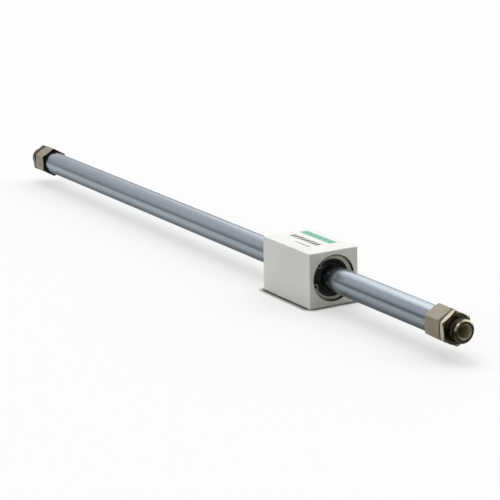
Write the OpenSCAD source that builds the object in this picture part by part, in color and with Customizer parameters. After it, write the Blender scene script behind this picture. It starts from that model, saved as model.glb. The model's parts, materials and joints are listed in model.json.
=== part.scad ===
// Rodless pneumatic cylinder, magnetically coupled, basic type.
// The tube lies along X with its middle at the origin; +Z is up.
// A piston inside the sealed tube pulls the slider outside it along by magnets.
// All sizes are in millimetres.

/* [Cylinder tube] */
// Bore of the cylinder: inner diameter of the tube
bore = 16; // [15:0.5:17]
// Wall thickness of the tube
tube_wall = 1; // [0.6:0.1:1.3]
// Travel of the slider from one end to the other
stroke = 500; // [250:10:1000]
// Depth to which the tube enters each end cover
tube_seat = 8; // [6:0.5:11]

/* [Slider block] */
// Width and height of the square block
slider_width = 39; // [37:0.5:48]
// Length of the block along the tube
slider_length = 61; // [50:0.5:80]
// Radius of the block's four long edges
long_edge_radius = 0.8; // [0.3:0.1:2]
// Chamfer round the block's two end faces
end_chamfer = 0.5; // [0.2:0.1:1]
// Bore through the block that holds magnets and bearing holders
slider_bore = 32; // [30:0.5:33]
// Gap left between block and end cover at the end of the stroke
end_gap = 2.5; // [1:0.5:10]
// Distance of the block from the right end of its stroke, as drawn
rest_from_end = 118.5; // [0:0.5:240]

/* [Mounting holes] */
// Distance between the tapped holes along the tube
hole_pitch_x = 30; // [20:1:40]
// Distance between the tapped holes across the block
hole_pitch_y = 25; // [24:0.5:30]
// Core diameter of the tapped holes
hole_d = 3.3; // [2.5:0.1:3.5]
// Depth of the tapped holes
hole_depth = 6; // [4:0.5:6]
// Countersink of the tapped holes, measured along their axis
hole_countersink = 0.4; // [0.2:0.1:0.6]

/* [Snap rings] */
// Thickness of the ring
ring_thickness = 1.2; // [0.8:0.1:1.6]
// Radial width of the ring opposite its gap
ring_width = 4.4; // [3.5:0.1:5]
// Radial width of the ring beside its gap
ring_end_width = 2.6; // [2:0.1:3.2]
// Depth of the ring's groove in the block's bore
ring_groove = 0.85; // [0.5:0.05:1.2]
// Distance of the groove from the block's end face
ring_inset = 1.5; // [1:0.1:2.5]
// Angle between the ring's two lugs
ring_gap_angle = 62; // [45:1:80]
// Direction the gap faces, turned about the tube from the +Y side upwards
ring_turn = 168; // [0:1:359]
// Radius of each lug
lug_radius = 2.3; // [1.8:0.1:2.6]
// Diameter of the plier hole in each lug
lug_hole = 2; // [1.2:0.1:2.4]

/* [Bearing holders] */
// Length of the scraper
scraper_length = 3; // [2:0.1:3.4]
// Radial width of the scraper
scraper_width = 3.8; // [3:0.1:4.2]
// Depth of the scraper below the holder's outer face
scraper_inset = 1; // [0.5:0.1:1.4]
// Length of the lube felt
felt_length = 1.5; // [1:0.1:2]
// Radial width of the lube felt
felt_width = 2.2; // [1.5:0.1:3]
// Length of the wear ring that runs on the tube
wear_length = 2.9; // [2:0.1:6]
// Radial width of the wear ring
wear_width = 1.2; // [0.8:0.1:2]
// Land between two grooves, and beside the last of them
holder_land = 0.5; // [0.3:0.1:0.6]

/* [Magnets] */
// Magnets in each stack; a yoke stands on both sides of every magnet
magnet_count = 4; // [2:1:4]
// Length of one yoke along the tube
yoke_length = 2.2; // [1.5:0.1:2.3]
// Gap between a magnet and the wall of the tube
magnet_gap = 0.6; // [0.4:0.05:1]
// Gap between a yoke and the wall of the tube
yoke_gap = 0.4; // [0.3:0.05:0.8]

/* [Piston] */
// Diameter of the shaft that carries the inner magnets
shaft_d = 5; // [4:0.5:6]
// Length of one piston
piston_length = 8; // [7.5:0.5:12]
// Clearance between a piston and the tube, on the radius
piston_clearance = 0.1; // [0.05:0.01:0.2]
// Length of the piston seal
seal_length = 2.2; // [1.8:0.1:2.4]
// Radial width of the piston seal
seal_width = 1.8; // [1.4:0.1:2]
// Length of the piston's wear ring
piston_wear_length = 2.2; // [1.5:0.1:2.4]
// Radial width of the piston's wear ring
piston_wear_width = 0.8; // [0.5:0.1:1.2]
// Land between a piston's faces and its grooves
piston_land = 1.1; // [0.8:0.1:1.3]
// Width across flats of the piston nut
piston_nut_across = 8; // [7.5:0.5:8.5]
// Thickness of the piston nut
piston_nut_thickness = 2.7; // [2:0.1:3.2]
// Room round the corners of the piston nut in its pocket
nut_pocket_room = 0.4; // [0.2:0.1:0.6]

/* [End covers] */
// Width across flats of the end covers and mounting nuts
hex_across = 21; // [20.5:0.5:26]
// Length of the end cover's hexagon
cover_length = 15.5; // [13:0.5:25]
// Depth of the corner chamfers, measured on a flat's middle line
hex_chamfer = 0.25; // [0.1:0.05:0.4]
// Slope of the corner chamfers from the end face
hex_chamfer_angle = 30; // [20:1:45]
// Thread diameter of the nose
nose_d = 16; // [14:0.5:17]
// Length of the nose that stands out of the mounting nut
nose_free = 8; // [5:0.5:15]
// Chamfer at the end of the nose
nose_chamfer = 1; // [0.5:0.1:1.5]
// Depth of the thread relief behind the nut, on the radius
relief_depth = 0.9; // [0.5:0.1:1.5]

/* [Mounting nuts] */
// Thickness of the mounting nut
nut_thickness = 4; // [3:0.5:8]
// Gap between nut and end cover, where a bracket is clamped
nut_gap = 1.3; // [0.5:0.1:5]
// Angle at which the mounting nuts stand on their thread
nut_turn = 5; // [0:1:59]

/* [Air ports] */
// Core diameter of the tapped port in the nose
port_d = 8.6; // [5:0.1:9]
// Depth of the port
port_depth = 12; // [8:0.5:14]
// Countersink of the port, measured along its axis
port_countersink = 0.7; // [0.3:0.1:1]
// Diameter of the air passage from port to tube
passage_d = 4.5; // [3:0.5:5]

/* [Seals and bumpers] */
// Thickness of the O-ring between end cover and tube
oring_section = 1.6; // [1.2:0.1:2]
// Room beside the O-ring in its groove
oring_room = 0.3; // [0.1:0.1:0.6]
// Length of the bumper that the piston stops against
bumper_length = 3; // [2:0.5:4]
// Length of the bumper that stands proud of the cover's stub
bumper_proud = 1; // [0.5:0.1:1.5]
// Radial width of the bumper
bumper_width = 3.4; // [2.5:0.1:3.8]
// Gap between the bumper and the tube, on the radius
bumper_clearance = 0.3; // [0.2:0.1:0.5]

/* [Hidden] */

// Clearance on the radius where a piece is seated in another
seat_fit = 0.02;
// Clearance on the radius where seals and wear rings run on the tube
running_fit = 0.03;
// Clearance between piston and bumper at the end of the stroke
stop_gap = 0.1;
// Play of the snap ring in its groove along the tube
ring_play = 0.1;
// How far cutting shapes reach past the solid that they cut
past = 1;

tube_r = bore / 2 + tube_wall;
holder_start = ring_inset + ring_thickness;
felt_start = scraper_inset + scraper_length + holder_land;
wear_start = felt_start + felt_length + holder_land;
holder_length = wear_start + wear_length + holder_land;

// The magnets fill the block between its bearing holders
stack_length = slider_length - 2 * (holder_start + holder_length);
magnet_length = (stack_length - (magnet_count + 1) * yoke_length) / magnet_count;
piston_train = stack_length + 2 * piston_length;
// Length of tube that shows between the end covers
open_length = stroke + slider_length + 2 * end_gap;
slider_x = stroke / 2 - rest_from_end;

// From a cover's inner face to the bumper's face, so that piston and slider stop together
bumper_reach = (slider_length + 2 * end_gap - piston_train) / 2 - stop_gap;
stub_reach = bumper_reach - bumper_proud;
spigot_reach = bumper_reach - bumper_length;
bumper_r = bore / 2 - bumper_clearance;

hex_r = hex_across / 2 / cos(30);
nose_length = nut_gap + nut_thickness + nose_free;
cover_total = cover_length + nose_length;
nut_start = cover_length + nut_gap;

groove_r = slider_bore / 2 + ring_groove;
ring_r = groove_r - seat_fit;

$fn = 96;

// ---- Shapes along the tube's axis ----

// Puts a shape with its foot at z = 0 on the X axis, its foot at x
module along_x(x) {
    translate([x, 0, 0]) rotate([0, 90, 0]) children();
}

module rod(x, length, radius) {
    along_x(x) cylinder(h = length, r = radius);
}

module ring(x, length, outer, inner) {
    difference() {
        rod(x, length, outer);
        rod(x - past, length + 2 * past, inner);
    }
}

// Countersink that widens towards +X and ends flush at x_face
module countersink(x_face, depth, radius) {
    along_x(x_face - depth) cylinder(h = depth, r1 = radius, r2 = radius + depth);
    rod(x_face, past, radius + depth);
}

// Hexagonal prism with chamfered corners, two corners standing up and down
module hexagon(x, length) {
    face_r = hex_across / 2 - hex_chamfer;
    // The chamfer's cone runs on past the corners, which it therefore cuts fully
    cone_r = hex_r + past;
    cone_h = (cone_r - face_r) * tan(hex_chamfer_angle);
    intersection() {
        along_x(x) cylinder(h = length, r = hex_r, $fn = 6);
        along_x(x) rotate_extrude() polygon([
            [0, 0], [face_r, 0], [cone_r, cone_h],
            [cone_r, length - cone_h], [face_r, length], [0, length]
        ]);
    }
}

// Draws its children at the tube's right end, or mirrored at its left end.
// Their x = 0 is the cover's inner face and +X points outwards.
module tube_end(side) {
    mirror([side == "left" ? 1 : 0, 0, 0])
        translate([open_length / 2, 0, 0]) children();
}

// The same for the slider: x = 0 is the block's end face and +X points inwards
module slider_end(side) {
    translate([slider_x, 0, 0]) mirror([side == "left" ? 0 : 1, 0, 0])
        translate([-slider_length / 2, 0, 0]) children();
}

// The same for the piston train: x = 0 is the piston's outer face, +X points inwards
module piston_end(side) {
    translate([slider_x, 0, 0]) mirror([side == "left" ? 0 : 1, 0, 0])
        translate([-piston_train / 2, 0, 0]) children();
}

// Start of magnet or yoke number i, counted from the left of the stack
function magnet_x(i) = slider_x - stack_length / 2 + i * yoke_length + (i - 1) * magnet_length;
function yoke_x(i) = slider_x - stack_length / 2 + (i - 1) * (yoke_length + magnet_length);

// ---- Tube, end covers and nuts ----

module cylinder_tube() {
    length = open_length + 2 * tube_seat;
    color("#b7c0ca") ring(-length / 2, length, tube_r, bore / 2);
}

module end_cover(side) {
    oring_x = -oring_section / 2 - oring_room / 2;
    color("#a39a88") tube_end(side) difference() {
        union() {
            hexagon(0, cover_length);
            rod(cover_length - past, past + nut_gap, nose_d / 2 - relief_depth);
            rod(nut_start, nose_length - nut_gap - nose_chamfer, nose_d / 2);
            along_x(cover_total - nose_chamfer)
                cylinder(h = nose_chamfer, r1 = nose_d / 2, r2 = nose_d / 2 - nose_chamfer);
            rod(-spigot_reach, spigot_reach + past, bore / 2 - seat_fit);
            rod(-stub_reach, stub_reach + past, bumper_r - bumper_width);
        }
        // Annular seat of the tube, round the spigot
        ring(-past, past + tube_seat, tube_r + seat_fit, bore / 2 - seat_fit);
        // O-ring groove in the spigot, half way along the seat
        ring(tube_seat / 2 + oring_x, oring_section + oring_room,
             bore / 2, bore / 2 - oring_section);
        // Air port and the passage to the tube
        rod(cover_total - port_depth, port_depth + past, port_d / 2);
        countersink(cover_total, port_countersink, port_d / 2);
        rod(-stub_reach - past, stub_reach + cover_total, passage_d / 2);
    }
}

module mounting_nut(side) {
    color("#aba48f") tube_end(side) rotate([nut_turn, 0, 0]) difference() {
        hexagon(nut_start, nut_thickness);
        rod(nut_start - past, nut_thickness + 2 * past, nose_d / 2 + seat_fit);
    }
}

module tube_seal(side) {
    color("#1c1c1c") tube_end(side) along_x(tube_seat / 2)
        rotate_extrude() translate([(bore - oring_section) / 2, 0])
            circle(d = oring_section, $fn = 48);
}

module bumper(side) {
    color("#c8b04a") tube_end(side)
        ring(-bumper_reach, bumper_length, bumper_r, bumper_r - bumper_width);
}

// ---- Piston train ----

module piston_shaft() {
    length = piston_train - 2 * nut_pocket_room;
    color("#9aa0a6") rod(slider_x - length / 2, length, shaft_d / 2);
}

module piston(side) {
    seal_x = piston_land;
    wear_x = piston_length - piston_land - piston_wear_length;
    pocket_r = piston_nut_across / 2 / cos(30) + nut_pocket_room;
    color("#c2a15a") piston_end(side) difference() {
        ring(0, piston_length, bore / 2 - piston_clearance, shaft_d / 2 + seat_fit);
        ring(seal_x, seal_length, bore / 2, bore / 2 - seal_width);
        ring(wear_x, piston_wear_length, bore / 2, bore / 2 - piston_wear_width);
        rod(-past, past + nut_pocket_room + piston_nut_thickness, pocket_r);
    }
}

module piston_seal(side) {
    outer = bore / 2 - running_fit;
    inner = bore / 2 - seal_width;
    lip = seal_width / 2;
    // U-cup that opens outwards, towards the air that drives the piston
    color("#202020") piston_end(side) along_x(piston_land) rotate_extrude() polygon([
        [inner, 0], [inner + lip / 2, 0], [inner + lip, lip], [outer - lip / 2, 0],
        [outer, 0], [outer, seal_length], [inner, seal_length]
    ]);
}

module piston_wear_ring(side) {
    color("#d8d2c0") piston_end(side)
        ring(piston_length - piston_land - piston_wear_length, piston_wear_length,
             bore / 2 - running_fit, bore / 2 - piston_wear_width);
}

module piston_nut(side) {
    color("#8f8f88") piston_end(side) difference() {
        along_x(nut_pocket_room)
            cylinder(h = piston_nut_thickness, r = piston_nut_across / 2 / cos(30), $fn = 6);
        rod(0, piston_length, shaft_d / 2 + seat_fit);
    }
}

module inner_magnet(i) {
    color("#70757c")
        ring(magnet_x(i), magnet_length, bore / 2 - magnet_gap, shaft_d / 2 + seat_fit);
}

module inner_yoke(i) {
    color("#a8adb2")
        ring(yoke_x(i), yoke_length, bore / 2 - yoke_gap, shaft_d / 2 + seat_fit);
}

// ---- Slider ----

// Rectangle in the XY plane with chamfered corners
module chamfered_rect(length, width, chamfer) {
    a = length / 2;
    b = width / 2;
    polygon([
        [-a + chamfer, -b], [a - chamfer, -b], [a, -b + chamfer], [a, b - chamfer],
        [a - chamfer, b], [-a + chamfer, b], [-a, b - chamfer], [-a, -b + chamfer]
    ]);
}

// Square in the XY plane with rounded corners
module rounded_square(width, radius) {
    inner = width - 2 * radius;
    square([width, inner], center = true);
    square([inner, width], center = true);
    for (x = [-1, 1], y = [-1, 1])
        translate([x * inner / 2, y * inner / 2]) circle(r = radius);
}

module block_blank() {
    half = slider_length / 2;
    intersection() {
        along_x(-half) linear_extrude(height = slider_length)
            rounded_square(slider_width, long_edge_radius);
        translate([0, 0, -slider_width]) linear_extrude(height = 2 * slider_width)
            chamfered_rect(slider_length, slider_width, end_chamfer);
        rotate([90, 0, 0]) translate([0, 0, -slider_width])
            linear_extrude(height = 2 * slider_width)
                chamfered_rect(slider_length, slider_width, end_chamfer);
    }
}

// Four tapped holes in the block's underside
module mounting_holes() {
    for (x = [-1, 1], y = [-1, 1])
        translate([x * hole_pitch_x / 2, y * hole_pitch_y / 2, -slider_width / 2]) {
            translate([0, 0, -past]) cylinder(h = past + hole_depth, d = hole_d);
            translate([0, 0, -past])
                cylinder(h = past, r = hole_d / 2 + hole_countersink);
            cylinder(h = hole_countersink, r1 = hole_d / 2 + hole_countersink, r2 = hole_d / 2);
        }
}

module slider_body() {
    groove_width = ring_thickness + ring_play;
    color("#d5d3cf") translate([slider_x, 0, 0]) difference() {
        block_blank();
        rod(-slider_length / 2 - past, slider_length + 2 * past, slider_bore / 2);
        for (side = [-1, 1])
            rod(side * (slider_length / 2 - ring_inset - groove_width / 2) - groove_width / 2,
                groove_width, groove_r);
        mounting_holes();
    }
}

module bearing_holder(side) {
    color("#2a2a2a") slider_end(side) translate([holder_start, 0, 0]) difference() {
        ring(0, holder_length, slider_bore / 2 - seat_fit, tube_r + yoke_gap);
        rod(-past, past + scraper_inset + scraper_length, tube_r + scraper_width);
        rod(felt_start, felt_length, tube_r + felt_width);
        rod(wear_start, wear_length, tube_r + wear_width);
    }
}

module scraper(side) {
    outer = tube_r + scraper_width;
    inner = tube_r + running_fit;
    heel = scraper_width / 2;
    // The lip leans outwards along the tube and thins to a wiping edge
    color("#181818") slider_end(side)
        along_x(holder_start + scraper_inset) rotate_extrude() polygon([
            [outer, 0], [outer, scraper_length], [inner + heel / 4, scraper_length],
            [inner + heel / 4, scraper_length / 2], [inner, 0],
            [inner + heel / 4, 0], [outer - heel, scraper_length / 2], [outer - heel / 2, 0]
        ]);
}

module lube_felt(side) {
    color("#c9c2a8") slider_end(side)
        ring(holder_start + felt_start, felt_length, tube_r + felt_width, tube_r + running_fit);
}

module wear_ring(side) {
    color("#d8d2c0") slider_end(side)
        ring(holder_start + wear_start, wear_length, tube_r + wear_width, tube_r + running_fit);
}

// Ring in the plane of the slider's end face: its gap faces the +X side of the drawing
module snap_ring_outline() {
    // The inner circle is set off towards the gap, so the ring tapers to its ends
    offset_x = (ring_width - ring_end_width) / 2;
    inner_r = ring_r - (ring_width + ring_end_width) / 2;
    half_gap = ring_gap_angle / 2;
    lug_pitch_r = ring_r - lug_radius;
    reach = 2 * ring_r;
    difference() {
        union() {
            difference() {
                circle(r = ring_r);
                translate([offset_x, 0]) circle(r = inner_r);
                polygon([
                    [0, 0], [reach * cos(half_gap), reach * sin(half_gap)],
                    [2 * reach, 0], [reach * cos(half_gap), -reach * sin(half_gap)]
                ]);
            }
            for (side = [-1, 1]) rotate(side * half_gap)
                translate([lug_pitch_r, 0]) circle(r = lug_radius);
        }
        for (side = [-1, 1]) rotate(side * half_gap)
            translate([lug_pitch_r, 0]) circle(d = lug_hole);
    }
}

module snap_ring(side) {
    color("#6f6d66") slider_end(side) translate([ring_inset, 0, 0])
        rotate([ring_turn, 0, 0]) rotate([90, 0, 90])
            linear_extrude(height = ring_thickness) snap_ring_outline();
}

module outer_magnet(i) {
    color("#70757c")
        ring(magnet_x(i), magnet_length, slider_bore / 2 - seat_fit, tube_r + magnet_gap);
}

module outer_yoke(i) {
    color("#a8adb2")
        ring(yoke_x(i), yoke_length, slider_bore / 2 - seat_fit, tube_r + yoke_gap);
}

// ---- Assembly ----

cylinder_tube();
for (side = ["left", "right"]) {
    end_cover(side);
    mounting_nut(side);
    tube_seal(side);
    bumper(side);
}

piston_shaft();
for (side = ["left", "right"]) {
    piston(side);
    piston_seal(side);
    piston_wear_ring(side);
    piston_nut(side);
}

slider_body();
for (side = ["left", "right"]) {
    bearing_holder(side);
    scraper(side);
    lube_felt(side);
    wear_ring(side);
    snap_ring(side);
}

for (i = [1:magnet_count]) {
    inner_magnet(i);
    outer_magnet(i);
}
for (i = [1:magnet_count + 1]) {
    inner_yoke(i);
    outer_yoke(i);
}
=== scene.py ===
import json
import math

import bmesh
import bpy
from mathutils import Matrix, Vector


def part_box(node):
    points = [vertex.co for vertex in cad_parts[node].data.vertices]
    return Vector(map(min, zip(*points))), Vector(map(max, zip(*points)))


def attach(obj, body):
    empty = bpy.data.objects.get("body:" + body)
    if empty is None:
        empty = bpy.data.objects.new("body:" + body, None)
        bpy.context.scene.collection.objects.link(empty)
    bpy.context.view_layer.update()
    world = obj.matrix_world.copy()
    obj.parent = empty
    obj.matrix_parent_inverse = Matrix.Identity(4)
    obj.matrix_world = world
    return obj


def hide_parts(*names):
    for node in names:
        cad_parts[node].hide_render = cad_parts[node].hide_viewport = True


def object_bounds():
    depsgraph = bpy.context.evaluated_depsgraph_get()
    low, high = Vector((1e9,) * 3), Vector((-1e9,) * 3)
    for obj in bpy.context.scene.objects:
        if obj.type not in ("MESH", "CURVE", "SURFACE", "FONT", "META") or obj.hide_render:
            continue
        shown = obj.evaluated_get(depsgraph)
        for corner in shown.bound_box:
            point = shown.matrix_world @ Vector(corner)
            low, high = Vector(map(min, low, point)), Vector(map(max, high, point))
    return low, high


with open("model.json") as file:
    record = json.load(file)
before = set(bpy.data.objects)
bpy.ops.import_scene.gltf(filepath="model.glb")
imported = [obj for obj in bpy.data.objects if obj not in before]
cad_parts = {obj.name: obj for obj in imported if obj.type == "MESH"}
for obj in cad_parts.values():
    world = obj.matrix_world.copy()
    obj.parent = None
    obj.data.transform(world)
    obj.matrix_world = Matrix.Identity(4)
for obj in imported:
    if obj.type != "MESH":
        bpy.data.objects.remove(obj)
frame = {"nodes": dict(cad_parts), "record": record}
cadLow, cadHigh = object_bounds()
mm = 0.001
sides = {"left": -1, "right": 1}


# Where the main pieces stand, read from the frame in millimetres
def nodeSpan(node):
    low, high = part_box(node)
    return low / mm, high / mm


tubeHigh = nodeSpan("cylinder_tube")[1]
tubeRadius, tubeEnd = tubeHigh.z, tubeHigh.x
blockLow, blockHigh = nodeSpan("slider_body")
blockX = (blockLow.x + blockHigh.x) / 2
blockHalf = (blockHigh.x - blockLow.x) / 2
blockSide = blockHigh.z
coverLow, coverHigh = nodeSpan("right_end_cover")
noseTip, stubTip = coverHigh.x, coverLow.x
nutLow, nutHigh = nodeSpan("right_mounting_nut")
print("frame read: tube radius", round(tubeRadius, 2), "block at", round(blockX, 1))


def put(tree, kind, inputs=None, **settings):
    node = tree.nodes.new(kind)
    for name, value in settings.items():
        setattr(node, name, value)
    for name, value in (inputs or {}).items():
        feed(tree, node, name, value)
    return node


# A value is set on the socket, and an output, or a node's first output, is linked to it
def feed(tree, node, name, value):
    socket = node.inputs[name]
    if isinstance(value, bpy.types.Node):
        value = value.outputs[0]
    if isinstance(value, bpy.types.NodeSocket):
        tree.links.new(value, socket)
    else:
        socket.default_value = value


# A node group for a surface effect or a thread: the tree, its input sockets and its output node
def newGroup(name, inputs, outputs, kind="ShaderNodeTree"):
    kinds = {"f": "NodeSocketFloat", "v": "NodeSocketVector", "g": "NodeSocketGeometry",
             "i": "NodeSocketInt", "m": "NodeSocketMaterial"}
    tree = bpy.data.node_groups.new(name, kind)
    for label, letter, value in inputs:
        made = tree.interface.new_socket(name=label, in_out="INPUT", socket_type=kinds[letter])
        if value is not None:
            made.default_value = value
    for label, letter in outputs:
        tree.interface.new_socket(name=label, in_out="OUTPUT", socket_type=kinds[letter])
    return tree, put(tree, "NodeGroupInput").outputs, put(tree, "NodeGroupOutput")


def calc(tree, operation, a, b=0.0, c=0.0):
    return put(tree, "ShaderNodeMath", {0: a, 1: b, 2: c}, operation=operation).outputs[0]


def times(tree, first, *others):
    for value in others:
        first = calc(tree, "MULTIPLY", first, value)
    return first


def remap(tree, value, low, high, toLow=0.0, toHigh=1.0, smooth=False):
    node = put(tree, "ShaderNodeMapRange", {"Value": value, "From Min": low, "From Max": high,
                                            "To Min": toLow, "To Max": toHigh},
               interpolation_type="SMOOTHSTEP" if smooth else "LINEAR")
    return node.outputs["Result"]


def noise(tree, vector, scale, detail, roughness=0.5):
    return put(tree, "ShaderNodeTexNoise", {"Vector": vector, "Scale": scale, "Detail": detail,
                                            "Roughness": roughness})


def blendColours(tree, share, first, second):
    return put(tree, "ShaderNodeMix", {0: share, 6: first, 7: second}, data_type="RGBA").outputs[2]


def rgb(r, g, b):
    return (r, g, b, 1.0)


def split(tree, vector):
    return put(tree, "ShaderNodeSeparateXYZ", {"Vector": vector}).outputs


# Distance from the tube's axis
def radialDistance(tree, vector):
    place = split(tree, vector)
    square = calc(tree, "ADD", calc(tree, "POWER", place["Y"], 2.0), calc(tree, "POWER", place["Z"], 2.0))
    return calc(tree, "SQRT", square)


# Fine grain of blasting, plating or moulding, with slow changes over the surface
def makeGrainGroup():
    tree, given, result = newGroup(
        "surfaceGrain",
        [("Vector", "v", None), ("Grain Size", "f", 0.3), ("Patch Size", "f", 20.0), ("Detail", "f", 3.0)],
        [("Grain", "f"), ("Patches", "f")])
    fineScale = calc(tree, "DIVIDE", 1 / mm, given["Grain Size"])
    slowScale = calc(tree, "DIVIDE", 1 / mm, given["Patch Size"])
    fine = noise(tree, given["Vector"], fineScale, given["Detail"], 0.6)
    slow = noise(tree, given["Vector"], slowScale, 2.0)
    feed(tree, result, "Grain", fine)
    feed(tree, result, "Patches", remap(tree, slow, 0.3, 0.7))
    return tree


# Wear on the edges that the mesh marks, broken up by noise
def makeWearGroup():
    tree, given, result = newGroup(
        "edgeWear", [("Edge", "f", 0.0), ("Vector", "v", None), ("Amount", "f", 0.5)], [("Worn", "f")])
    chips = noise(tree, given["Vector"], 900.0, 4.0)
    spread = times(tree, given["Edge"], given["Amount"])
    broken = calc(tree, "ADD", spread, calc(tree, "SUBTRACT", chips, 1.0))
    feed(tree, result, "Worn", remap(tree, broken, 0.0, 0.35, smooth=True))
    return tree


# Marks drawn out along the tube: fine lines, and wider smears that a seal leaves
def makeStreakGroup():
    tree, given, result = newGroup(
        "axialStreaks",
        [("Vector", "v", None), ("Across", "f", 1500.0), ("Along", "f", 12.0)],
        [("Lines", "f"), ("Smears", "f")])
    across = given["Across"]
    stretch = put(tree, "ShaderNodeCombineXYZ", {"X": given["Along"], "Y": across, "Z": across})
    drawn = put(tree, "ShaderNodeVectorMath", {0: given["Vector"], 1: stretch},
                operation="MULTIPLY")
    feed(tree, result, "Lines", noise(tree, drawn, 1.0, 3.0))
    smears = noise(tree, drawn, 0.18, 2.0)
    feed(tree, result, "Smears", remap(tree, smears, 0.35, 0.7, smooth=True))
    return tree


# Rings that a turning tool leaves round the tube's axis, on faces and on rounds
def makeTurnedGroup():
    tree, given, result = newGroup(
        "turnedRings", [("Vector", "v", None), ("Feed", "f", 0.12)], [("Rings", "f")])
    vector = given["Vector"]
    outward = calc(tree, "ADD", radialDistance(tree, vector), split(tree, vector)["X"])
    count = calc(tree, "DIVIDE", times(tree, outward, 1 / mm), given["Feed"])
    wave = calc(tree, "SINE", times(tree, count, 2 * math.pi))
    uneven = put(tree, "ShaderNodeTexNoise", {"W": times(tree, count, 0.7), "Scale": 1.0, "Detail": 2.0},
                 noise_dimensions="1D")
    feed(tree, result, "Rings", calc(tree, "ADD", times(tree, wave, 0.25), uneven))
    return tree


# Mask of a printed bar on the block's top face, with slightly soft edges, all in metres
def makePrintGroup():
    tree, given, result = newGroup(
        "printedBar",
        [("Vector", "v", None), ("Centre X", "f", 0.0), ("Centre Y", "f", 0.0), ("Length", "f", 0.03),
         ("Width", "f", 0.005), ("Edge", "f", 0.0001)],
        [("Mask", "f")])
    place = split(tree, given["Vector"])
    masks = []
    for axis, centre, size in (("X", "Centre X", "Length"), ("Y", "Centre Y", "Width")):
        away = calc(tree, "ABSOLUTE", calc(tree, "SUBTRACT", place[axis], given[centre]))
        inside = calc(tree, "SUBTRACT", times(tree, given[size], 0.5), away)
        sharp = calc(tree, "DIVIDE", inside, given["Edge"])
        masks.append(calc(tree, "MINIMUM", calc(tree, "MAXIMUM", sharp, 0.0), 1.0))
    feed(tree, result, "Mask", times(tree, *masks))
    return tree


grainGroup = makeGrainGroup()
wearGroup = makeWearGroup()
streakGroup = makeStreakGroup()
turnedGroup = makeTurnedGroup()
printGroup = makePrintGroup()


def useGroup(tree, group, **inputs):
    node = put(tree, "ShaderNodeGroup", node_tree=group)
    for name, value in inputs.items():
        feed(tree, node, name.replace("_", " "), value)
    return node.outputs


def newMaterial(name):
    material = bpy.data.materials.new(name)
    material.use_nodes = True
    tree = material.node_tree
    shader = tree.nodes["Principled BSDF"]
    coord = put(tree, "ShaderNodeTexCoord").outputs["Object"]
    return material, tree, shader, coord


# The grain, and the wear on the edges that the mesh marks
def grainAndWear(tree, coord, grain, patch, amount, detail=3.0):
    texture = useGroup(tree, grainGroup, Vector=coord, Grain_Size=grain, Patch_Size=patch, Detail=detail)
    edge = put(tree, "ShaderNodeAttribute", attribute_name="edge").outputs["Fac"]
    return texture, useGroup(tree, wearGroup, Edge=edge, Vector=coord, Amount=amount)["Worn"]


# Roughness that follows the grain
def grainGloss(tree, texture, roughness, spread=0.14):
    return remap(tree, texture["Grain"], 0.3, 0.7, roughness - spread / 2, roughness + spread / 2)


def bump(tree, shader, height, strength, distance):
    node = put(tree, "ShaderNodeBump", {"Height": height, "Strength": strength, "Distance": distance * mm})
    feed(tree, shader, "Normal", node)


# Bare or plated metal: grain in the gloss, slow patches in the colour, brighter worn edges
def makeMetal(name, colour, dark, roughness, spread=0.12, grain=0.25, relief=0.15, turned=0.0, worn=0.5,
              metallic=1.0, crest=None):
    material, tree, shader, coord = newMaterial(name)
    texture, wear = grainAndWear(tree, coord, grain, 9.0, worn)
    shade = blendColours(tree, texture["Patches"], rgb(*dark), rgb(*colour))
    if crest:
        # Thread crests are rubbed bright, and the roots stay dark with oil
        radius, depth, rubbed = crest
        onCrest = calc(tree, "COMPARE", radialDistance(tree, coord), radius * mm, depth * mm)
        onCrest = times(tree, onCrest, remap(tree, texture["Grain"], 0.15, 0.45))
        shade = blendColours(tree, onCrest, shade, rgb(*rubbed))
    bright = tuple(min(1.0, 1.35 * c) for c in colour)
    feed(tree, shader, "Base Color", blendColours(tree, wear, shade, rgb(*bright)))
    feed(tree, shader, "Metallic", metallic)
    feed(tree, shader, "Roughness", grainGloss(tree, texture, roughness, spread))
    height = texture["Grain"]
    if turned:
        rings = useGroup(tree, turnedGroup, Vector=coord)
        height = calc(tree, "ADD", height, times(tree, rings["Rings"], turned))
    bump(tree, shader, height, relief, 0.02)
    return material


tubeFinish = {"colour": (0.41, 0.462, 0.517), "dark": (0.36, 0.407, 0.46), "roughness": 0.19, "lines": 0.06}


def makeTubeSteel():
    material, tree, shader, coord = newMaterial("tubeSteel")
    streaks = useGroup(tree, streakGroup, Vector=coord)
    patches = useGroup(tree, grainGroup, Vector=coord, Grain_Size=0.5, Patch_Size=60.0)
    shade = blendColours(tree, streaks["Smears"], rgb(*tubeFinish["dark"]), rgb(*tubeFinish["colour"]))
    feed(tree, shader, "Base Color", shade)
    feed(tree, shader, "Metallic", 1.0)
    rough = calc(tree, "ADD", remap(tree, streaks["Lines"], 0.3, 0.7, -0.03, 0.03),
                 remap(tree, patches["Patches"], 0.0, 1.0, -0.02, 0.03))
    feed(tree, shader, "Roughness", calc(tree, "ADD", rough, tubeFinish["roughness"]))
    bump(tree, shader, streaks["Lines"], tubeFinish["lines"], 0.01)
    return material


printing = {
    "bandColour": (0.05, 0.30, 0.19), "bandPale": (0.16, 0.50, 0.35), "inkColour": (0.012, 0.013, 0.015),
    "bandLength": 40.0, "bandWidth": 6.8, "bandX": -5.5, "bandY": 10.3,
    "bandPitch": 6.0, "bandShare": 0.55, "strokeInset": 5.0, "strokeHeight": 0.5, "strokeEdge": 0.4,
    "tickRow": (-4.5, -0.9, 35.2, 4.9), "tickPitch": 4.4, "tickShare": 0.7,
    "fineRow": (4.5, -8.8, 18.5, 1.3), "finePitch": 1.5, "fineShare": 0.8,
}


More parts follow.
